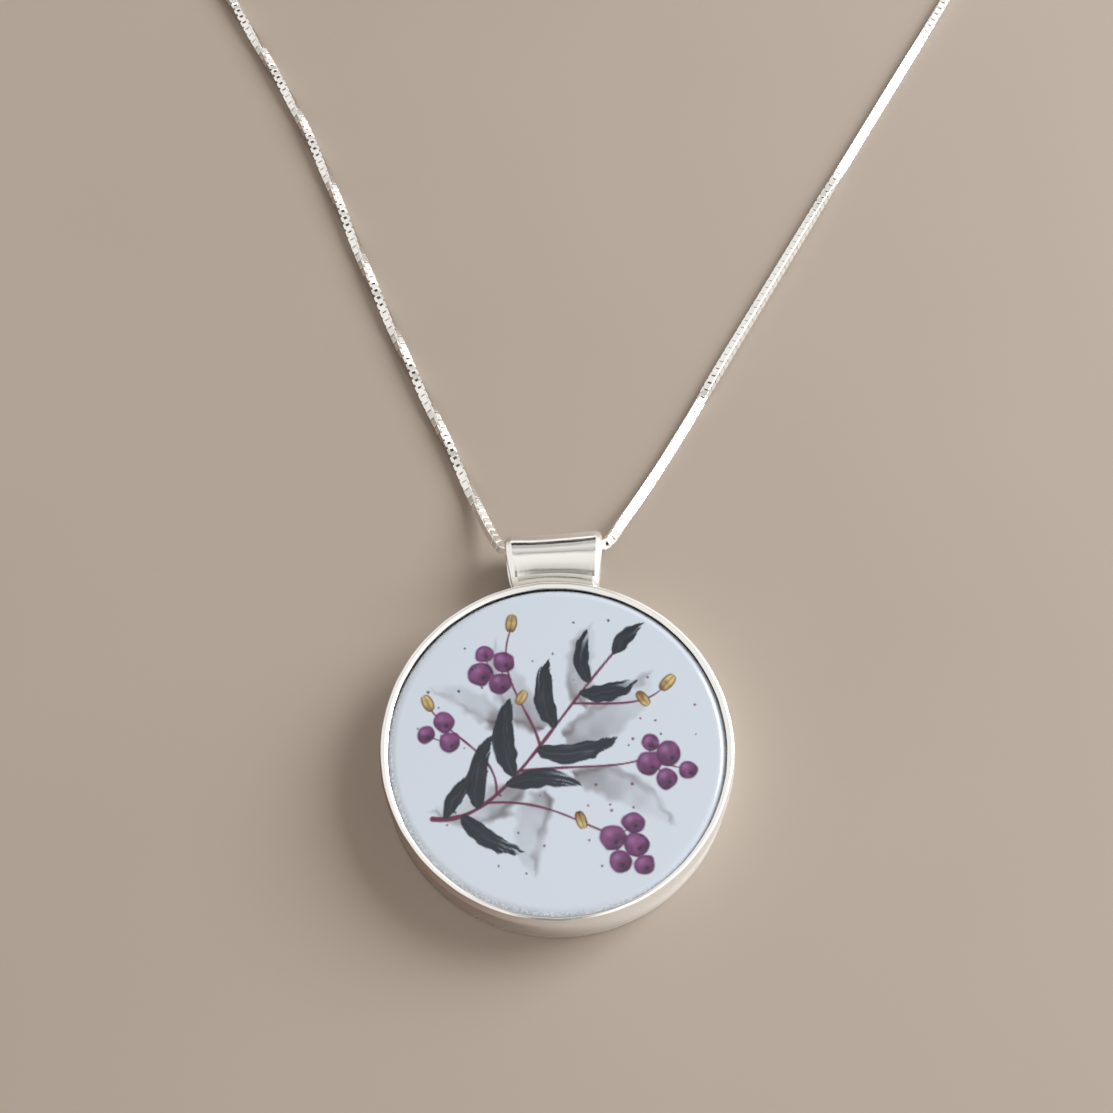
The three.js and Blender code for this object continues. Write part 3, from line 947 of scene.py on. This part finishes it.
class NECKLACE_OT_disc(bpy.types.Operator):
    """Make the ceramic disc and paint its face"""

    bl_idname = "necklace.disc"
    bl_label = "Painted Disc"

    def execute(self, context):
        sizes = context.scene.necklace_disc
        radius, edge = sizes.radius / MM, sizes.edge / MM
        flat, sides = radius - edge, 6 * DISC_RINGS
        spots, faces = even_disc(flat, DISC_RINGS)
        glaze = np.array(context.scene.necklace_colours.glaze)
        enamel = Enamel(spots[:, 0], spots[:, 1], from_linear(glaze))
        paint_sprig(enamel)
        fall = FACE_FALL * (np.hypot(spots[:, 0], spots[:, 1]) / flat) ** 4
        heights = sizes.face / MM - fall - sizes.enamel / MM * (1 - enamel.raised)
        drop = heights[-1] - EDGE_FOOT
        profile = [
            (flat + edge * math.sin(a), EDGE_FOOT + drop * math.cos(a))
            for a in np.linspace(EDGE_START, math.pi / 2, EDGE_STEPS)
        ] + [(radius - inwards, z) for inwards, z in DISC_FOOT]
        turn = around(sides)
        worn = WORN_REACH * np.clip(np.cos(turn - WORN_SIDE), 0, 1)
        places, rim, quads = [np.column_stack([spots, heights])], [np.zeros(len(spots))], []
        last = np.arange(len(spots) - sides, len(spots))
        for r, z in profile:
            places.append(np.column_stack([r * np.cos(turn), r * np.sin(turn), np.full(sides, z)]))
            rim.append(soft_step(GROUND_RIM[0] - worn, GROUND_RIM[1] - worn / 2, (r - flat) / edge))
            fresh = last + sides
            quads.append(np.stack([last, fresh, np.roll(fresh, -1), np.roll(last, -1)], axis=-1))
            last = fresh
        mesh = bpy.data.meshes.new("painted_disc")
        every = faces.tolist() + np.vstack(quads).tolist() + [last[::-1].tolist()]
        mesh.from_pydata((np.vstack(places) * MM + (*sizes.shift, 0)).tolist(), [], every)
        mesh.shade_smooth()
        skirt = len(profile) * sides
        colours = np.vstack([to_linear(enamel.colour), np.tile(glaze, (skirt, 1))])
        paint = mesh.attributes.new("enamel", "FLOAT_COLOR", "POINT")
        paint.data.foreach_set("color", np.column_stack([colours, np.ones(len(colours))]).ravel())
        mark(mesh, "raised", np.concatenate([enamel.raised, np.zeros(skirt)]))
        mark(mesh, "rim", np.concatenate(rim))
        settle("painted_disc", mesh, "glaze", "ceramic_disc")
        return {"FINISHED"}


# Bail

BAIL_CENTRE = (-0.25, 15.96, 2.5)
BAIL_TURN = math.radians(3)
BAIL_NARROWING = 0.1
BAIL_NARROWING_POWER = 2.45
LIP_START = 0.86
LIP_FALL = 0.17
FLARE_POWER = 2.5
FALL_POWER = 1.2
# The swell on the side away from the bezel: how high, and where it grows across the band and fades round it
BAIL_BULGE = 0.08
BULGE_ACROSS = (-0.6, 0.9)
BULGE_ROUND = (0.85, 1.55)
SEAT_RADIUS = 13.6
STEPS_ACROSS = 61
STEPS_AT_RIM = 9
STEPS_ROUND = 128


def bail_place(across, radius, turn, half_width, outer):
    """A point of the bail: across is -1 to 1 over its width, turn starts on the side away from the bezel."""
    half = half_width - BAIL_NARROWING * (1 - np.cos(turn)) ** BAIL_NARROWING_POWER
    cos, sin = math.cos(BAIL_TURN), math.sin(BAIL_TURN)

    def turned(x, y):
        return BAIL_CENTRE[0] + x * cos - y * sin, BAIL_CENTRE[1] + x * sin + y * cos

    x, y = turned(across * half, radius * np.cos(turn))
    near_x, near_y = turned(across * half, -outer)
    seat = np.sqrt(SEAT_RADIUS ** 2 - near_x ** 2)
    y += (seat - near_y) * np.maximum(0, -np.cos(turn)) ** 2
    return np.stack([x, y, BAIL_CENTRE[2] + radius * np.sin(turn)], axis=-1)


class NECKLACE_OT_bail(bpy.types.Operator):
    """Bend the bail: a saddle-shaped band with flared, rounded lips"""

    bl_idname = "necklace.bail"
    bl_label = "Bail"

    def execute(self, context):
        sizes = context.scene.necklace_bail
        waist, lip = sizes.waist / MM, sizes.lip / MM
        thickness, half_width = sizes.thickness / MM, sizes.half_width / MM

        def outer(across):
            away = np.abs(across)
            fall = np.maximum(0, away - LIP_START) / (1 - LIP_START)
            flare = (lip - waist) * (np.minimum(away, LIP_START) / LIP_START) ** FLARE_POWER
            return waist + flare - LIP_FALL * fall ** FALL_POWER

        end = thickness / 2 / half_width
        flat = np.linspace(-1 + end, 1 - end, STEPS_ACROSS)
        arc = np.linspace(0, math.pi, STEPS_AT_RIM)[1:-1]
        bow, rim = end * np.sin(arc), outer(1 - end) - thickness / 2
        drop = thickness / 2 * np.cos(arc)
        across = np.concatenate([flat, 1 - end + bow, flat[::-1], -1 + end - bow])
        radius = np.concatenate([outer(flat), rim + drop, outer(flat[::-1]) - thickness, rim - drop])
        turn = around(STEPS_ROUND)[:, None]
        round_it = soft_step(*BULGE_ROUND, math.pi - np.abs(turn - math.pi))
        bulge = BAIL_BULGE * soft_step(*BULGE_ACROSS, across) * (1 - round_it)
        rings = bail_place(across, radius + bulge, turn, half_width, outer(across))
        settle("bail_loop", closed_mesh(rings, True), "polished", "bail")
        return {"FINISHED"}


# Clasp and findings

CLASP_CENTRE = (24.2, 88.0, 1.5)
RING_SEAM = 0.012
RING_START = 0.6
RING_LIFT = 0.02
RING_STEPS = 73
WIRE_SIDES = 18
MERGE_GAP = 0.001
FLAT_ANGLE = math.radians(1)
SHARP_ANGLE = math.radians(32)
EASE_STEPS = 3


def dressed_copy(name, ease):
    """A copy of a solid's mesh with its flat faces made whole and its sharp edges eased."""
    work = bmesh.new()
    work.from_mesh(bpy.data.objects[name].data)
    bmesh.ops.remove_doubles(work, verts=work.verts, dist=MERGE_GAP * MM)
    bmesh.ops.dissolve_limit(
        work, angle_limit=FLAT_ANGLE, verts=work.verts, edges=work.edges, use_dissolve_boundaries=False
    )
    sharp = [e for e in work.edges if len(e.link_faces) == 2 and e.calc_face_angle(0.0) > SHARP_ANGLE]
    bmesh.ops.bevel(
        work, geom=sharp, offset=ease * MM, segments=EASE_STEPS, profile=0.5, affect="EDGES",
        clamp_overlap=True,
    )
    mesh = bpy.data.meshes.new("copy")
    work.to_mesh(mesh)
    work.free()
    return finish_mesh(mesh, 40)


def wire_ring(x, radius, wire):
    """A ring of round wire that stands upright in the clasp, with the fine gap where it was closed."""
    turn = np.linspace(RING_SEAM, 2 * math.pi - RING_SEAM, RING_STEPS)[:, None] + RING_START
    side = around(WIRE_SIDES)
    away = radius + wire * np.cos(side)
    return closed_mesh(np.stack([
        CLASP_CENTRE[0] - x - away * np.cos(turn),
        CLASP_CENTRE[1] - wire * np.sin(side) + 0 * turn,
        radius + wire + RING_LIFT + away * np.sin(turn),
    ], axis=-1), False)


class NECKLACE_OT_clasp(bpy.types.Operator):
    """Ease the edges of the clasp's body, lever, pin and spring"""

    bl_idname = "necklace.clasp"
    bl_label = "Lobster Clasp"

    def execute(self, context):
        for solid, name, ease, kind, body in (
            ("clasp_body", "claw_body", 0.16, "polished", BODY),
            ("clasp_lever", "claw_lever", 0.08, "polished", "lever"),
            ("clasp_pin", "claw_pin", 0.04, "polished", BODY),
            ("clasp_spring", "claw_spring", 0.02, "satin", BODY),
        ):
            settle(name, dressed_copy(solid, ease), kind, solid, body=body)
        return {"FINISHED"}


class NECKLACE_OT_findings(bpy.types.Operator):
    bl_idname = "necklace.findings"
    bl_label = "Rings and Caps"

    def execute(self, context):
        for name, solid, x, radius, wire in (
            ("eye_ring", "jump_ring", -1.33, 1.38, 0.3),
            ("catch_ring", "end_ring", 9.1, 1.8, 0.35),
        ):
            settle(name, wire_ring(x, radius, wire), "polished", solid)
        for name, solid in (("claw_cap", "clasp_end_cap"), ("catch_cap", "ring_end_cap")):
            settle(name, dressed_copy(solid, 0.06), "polished", solid)
        line = chain_line() * MM
        return {"FINISHED"}


# Stage

CAMERA_PLACE = (-0.00005, -0.0355, 0.1247)
CAMERA_TILT = math.radians(23.1)
CAMERA_LENS = 53.06
CAMERA_SENSOR = 36.0
CAMERA_NEAR = 0.005
WINDOW_PLACE = (0.60, 0.30, 0.48)
WINDOW_AIM = (0, 0.01, 0)
WINDOW_SIZE = (0.45, 0.55)
WINDOW_WATTS = 6.9
WINDOW_TINT = (0.93, 0.98, 1.0)
FLOOR_REACH = 3
FLOOR_CLOUD = (0.9, 0.88, 0.85, 1)
FLOOR_ROUGHNESS = 0.6
# The silver mirrors a floor with painted shade, darker, at the left and painted light, lighter, at the right
FLOOR_SHADE_IN_SILVER = (0.31, 0.235, 0.19, 1)
FLOOR_LIGHT_IN_SILVER = (0.72, 0.675, 0.64, 1)
FLOOR_TURNS_LIGHT = 0.014


def window_light():
    """One broad, soft light from the back right."""
    light = bpy.data.lights.new("window", "AREA")
    light.shape = "RECTANGLE"
    light.size, light.size_y = WINDOW_SIZE
    light.energy, light.color = WINDOW_WATTS, WINDOW_TINT
    lamp = new_object("window", light)
    lamp.location = WINDOW_PLACE
    lamp.rotation_euler = (Vector(WINDOW_AIM) - Vector(WINDOW_PLACE)).to_track_quat("-Z", "Y").to_euler()


def floored(place, tint):
    """Plain matt floor, faintly clouded, that shows the silver painted shade at its left and painted light at
    its right.
    """
    cloud = spread(grain(place, 14.0), 0.3, 0.7, 0.0, 0.06, smooth=False)
    sunny = spread(parts(place)[0], -FLOOR_TURNS_LIGHT, FLOOR_TURNS_LIGHT)
    # Painted light and shade, seen only in the silver's reflections: darker at the left, lighter at the right
    painted_light_in_silver = mixed(sunny, FLOOR_SHADE_IN_SILVER, FLOOR_LIGHT_IN_SILVER)
    mirrored = add(place.tree, "ShaderNodeLightPath", output="Is Glossy Ray")
    seen = mixed(cloud, (*tint, 1), FLOOR_CLOUD)
    return {"Base Color": mixed(mirrored, seen, painted_light_in_silver), "Roughness": FLOOR_ROUGHNESS}


def plain_floor(tint):
    corners = [(FLOOR_REACH * x, FLOOR_REACH * y, 0) for x, y in ((-1, -1), (1, -1), (1, 1), (-1, 1))]
    mesh = bpy.data.meshes.new("floor")
    mesh.from_pydata(corners, [], [(0, 1, 2, 3)])
    mesh.materials.append(material_of("Plain floor", floored, tint))
    new_object("floor", mesh)


# Brightness of the room's middle by its angle from straight up, in degrees, from the front to the back
ROOM = (
    (-90, 0.30), (-72, 0.36), (-57, 0.26), (-47, 0.42), (-42, 0.25), (-36, 0.70), (-13, 0.95), (11, 1.05),
    (19, 0.85), (25, 0.45), (31, 0.72), (41, 0.90), (49, 0.72), (55, 0.48), (60, 0.66), (62, 0.70),
    (64.5, 0.07), (75.5, 0.06), (78.5, 1.15), (90, 1.25),
)
ROOM_LEFT = 1.0
ROOM_RIGHT = 1.35
ROOM_LOW = 0.62
ROOM_TINT = (1.0, 0.985, 0.96, 1)
ROOM_DIFFUSE = (0.48, 0.415, 0.37, 1)
ROOM_BACKDROP = (0.60, 0.58, 0.56, 1)


def soft_room():
    """A soft room for the silver to mirror: a bright ceiling with darker bands down its middle."""
    world = bpy.data.worlds.new("Soft room")
    world.use_nodes = True
    tree = world.node_tree
    way = add(tree, "ShaderNodeTexCoord", output="Generated")
    x, y, z = parts(way)
    drift = grain(stretched(way, (0, 0, 0), (5.0, 2.0, 2.0)), 1.0, 2.0) - 0.5
    lean = calc("ARCTAN2", y, z) + drift * 0.3
    bands = node(tree, "ShaderNodeValToRGB", {"Fac": lean / math.pi + 0.5})
    stops = bands.color_ramp.elements
    while len(stops) < len(ROOM):
        stops.new(0.5)
    for stop, (turn, value) in zip(stops, ROOM):
        stop.position = turn / 180 + 0.5
        stop.color = (value, value, value, 1)
    beyond = spread(calc("ABSOLUTE", x) + drift * 0.15, 0.10, 0.32)
    sides = spread(x, -0.3, 0.3, ROOM_LEFT, ROOM_RIGHT) * spread(z, -0.05, 0.45, ROOM_LOW, 1.0)
    level = Wire(bands.outputs["Color"]) * (1.0 - beyond) + sides * beyond
    path = node(tree, "ShaderNodeLightPath").outputs
    seen = Wire(path["Is Camera Ray"])
    tint = mixed(Wire(path["Is Diffuse Ray"]), ROOM_TINT, ROOM_DIFFUSE)
    feed(tree.nodes["Background"], {
        "Color": mixed(seen, tint, ROOM_BACKDROP),
        "Strength": level * (1.0 - seen) + seen,
    })
    return world


class NECKLACE_OT_stage(bpy.types.Operator):
    """Set up the floor, the soft light and the camera"""

    bl_idname = "necklace.stage"
    bl_label = "Stage"

    def execute(self, context):
        scene = context.scene
        camera = new_object("camera", bpy.data.cameras.new("camera"))
        camera.data.lens, camera.data.sensor_width = CAMERA_LENS, CAMERA_SENSOR
        camera.data.clip_start = CAMERA_NEAR
        camera.location = CAMERA_PLACE
        camera.rotation_euler = (CAMERA_TILT, 0.0, 0.0)
        scene.camera = camera
        plain_floor(scene.necklace_colours.floor)
        window_light()
        scene.world = soft_room()
        scene.view_settings.view_transform = "Standard"
        scene.view_settings.look = "None"
        return {"FINISHED"}


class NECKLACE_PT_panel(bpy.types.Panel):
    """The necklace's sizes, and a button for each group of pieces"""

    bl_idname = "NECKLACE_PT_panel"
    bl_label = "Pendant Necklace"
    bl_space_type = "VIEW_3D"
    bl_region_type = "UI"
    bl_category = "Necklace"

    def draw(self, context):
        for operator, name, group in PARTS:
            box = self.layout.box()
            box.operator(operator.bl_idname)
            for prop in getattr(group, "__annotations__", ()):
                box.prop(getattr(context.scene, name), prop)


# Each group of pieces, and its sizes as a property of the scene
PARTS = (
    (NECKLACE_OT_stage, "necklace_colours", Colours),
    (NECKLACE_OT_chain, "necklace_chain", ChainSizes),
    (NECKLACE_OT_bezel, "necklace_bezel", BezelSizes),
    (NECKLACE_OT_disc, "necklace_disc", DiscSizes),
    (NECKLACE_OT_bail, "necklace_bail", BailSizes),
    (NECKLACE_OT_clasp, "", None),
    (NECKLACE_OT_findings, "", None),
)


def register():
    for operator, name, group in PARTS:
        if group:
            bpy.utils.register_class(group)
            setattr(bpy.types.Scene, name, bpy.props.PointerProperty(type=group))
        bpy.utils.register_class(operator)
    bpy.utils.register_class(NECKLACE_PT_panel)


def unregister():
    bpy.utils.unregister_class(NECKLACE_PT_panel)
    for operator, name, group in reversed(PARTS):
        bpy.utils.unregister_class(operator)
        if group:
            delattr(bpy.types.Scene, name)
            bpy.utils.unregister_class(group)


def main():
    register()
    for operator, _, _ in PARTS:
        getattr(bpy.ops.necklace, operator.bl_idname.split(".")[1])()


if __name__ == "__main__":
    main()
